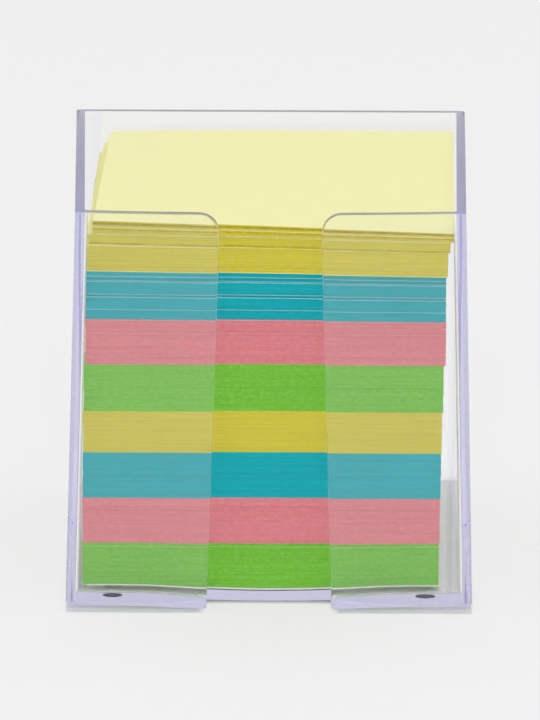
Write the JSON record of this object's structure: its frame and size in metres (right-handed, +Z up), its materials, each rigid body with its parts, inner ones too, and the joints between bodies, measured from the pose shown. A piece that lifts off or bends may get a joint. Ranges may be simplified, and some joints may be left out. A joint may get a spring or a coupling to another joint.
{
  "type": "memo cube holder",
  "caption": "Clear open-topped box on round feet with a front finger slot, filled with loose square note sheets in coloured bands that lift out from above.",
  "frame": {"origin": "on the table under the middle of the holder", "axes": "+Z up, the finger slot faces -Y, +X to the right seen from the slot"},
  "size_m": [0.1014, 0.1046, 0.1029],
  "materials": {
    "clear_plastic": "clear polished moulding",
    "foot_pad": "soft satin",
    "white_card": "uncoated",
    "yellow_paper": "uncoated",
    "teal_paper": "uncoated",
    "pink_paper": "uncoated",
    "green_paper": "uncoated"
  },
  "bodies": {
    "holder": {"clear_holder": "clear_plastic", "foot_front_left": "foot_pad", "foot_front_right": "foot_pad", "foot_rear_left": "foot_pad", "foot_rear_right": "foot_pad"},
    "backing_card": {"backing_card": "white_card"},
    "lower_green_bundle": {"lower_green_sheets": "green_paper"},
    "lower_pink_bundle": {"lower_pink_sheets": "pink_paper"},
    "lower_teal_bundle": {"lower_teal_sheets": "teal_paper"},
    "lower_yellow_bundle": {"lower_yellow_sheets": "yellow_paper"},
    "upper_green_bundle": {"upper_green_sheets": "green_paper"},
    "upper_pink_bundle": {"upper_pink_sheets": "pink_paper"},
    "upper_teal_bundle": {"upper_teal_sheets": "teal_paper"},
    "upper_yellow_bundle": {"upper_yellow_sheets": "yellow_paper"},
    "loose_yellow_bundle": {"loose_yellow_sheets": "yellow_paper"},
    "shifted_yellow_bundle": {"shifted_yellow_sheets": "yellow_paper"},
    "top_sheet": {"top_sheet": "yellow_paper"}
  },
  "joints": [
    {"name": "backing_card_lift", "type": "slide", "parent": "holder", "child": "backing_card", "axis": [0.015, 0, 0.9999], "range_m": [0, 0.1017]},
    {"name": "lower_green_lift", "type": "slide", "parent": "backing_card", "child": "lower_green_bundle", "axis": [0.015, 0, 0.9999], "range_m": [0, 0.1013]},
    {"name": "lower_pink_lift", "type": "slide", "parent": "lower_green_bundle", "child": "lower_pink_bundle", "axis": [0.015, 0, 0.9999], "range_m": [0, 0.0904]},
    {"name": "lower_teal_lift", "type": "slide", "parent": "lower_pink_bundle", "child": "lower_teal_bundle", "axis": [0.015, 0, 0.9999], "range_m": [0, 0.0786]},
    {"name": "lower_yellow_lift", "type": "slide", "parent": "lower_teal_bundle", "child": "lower_yellow_bundle", "axis": [0.015, 0, 0.9999], "range_m": [0, 0.0668]},
    {"name": "upper_green_lift", "type": "slide", "parent": "lower_yellow_bundle", "child": "upper_green_bundle", "axis": [0.015, 0, 0.9999], "range_m": [0, 0.0561]},
    {"name": "upper_pink_lift", "type": "slide", "parent": "upper_green_bundle", "child": "upper_pink_bundle", "axis": [0.015, 0, 0.9999], "range_m": [0, 0.044]},
    {"name": "upper_teal_lift", "type": "slide", "parent": "upper_pink_bundle", "child": "upper_teal_bundle", "axis": [0.015, 0, 0.9999], "range_m": [0, 0.0325]},
    {"name": "upper_yellow_lift", "type": "slide", "parent": "upper_teal_bundle", "child": "upper_yellow_bundle", "axis": [0.015, 0, 0.9999], "range_m": [0, 0.0207]},
    {"name": "loose_yellow_lift", "type": "slide", "parent": "upper_yellow_bundle", "child": "loose_yellow_bundle", "axis": [0.015, 0, 0.9999], "range_m": [0, 0.0141]},
    {"name": "shifted_yellow_lift", "type": "slide", "parent": "loose_yellow_bundle", "child": "shifted_yellow_bundle", "axis": [0.015, 0, 0.9999], "range_m": [0, 0.0114]},
    {"name": "top_sheet_lift", "type": "slide", "parent": "shifted_yellow_bundle", "child": "top_sheet", "axis": [0.015, 0, 0.9999], "range_m": [0, 0.0088]}
  ]
}
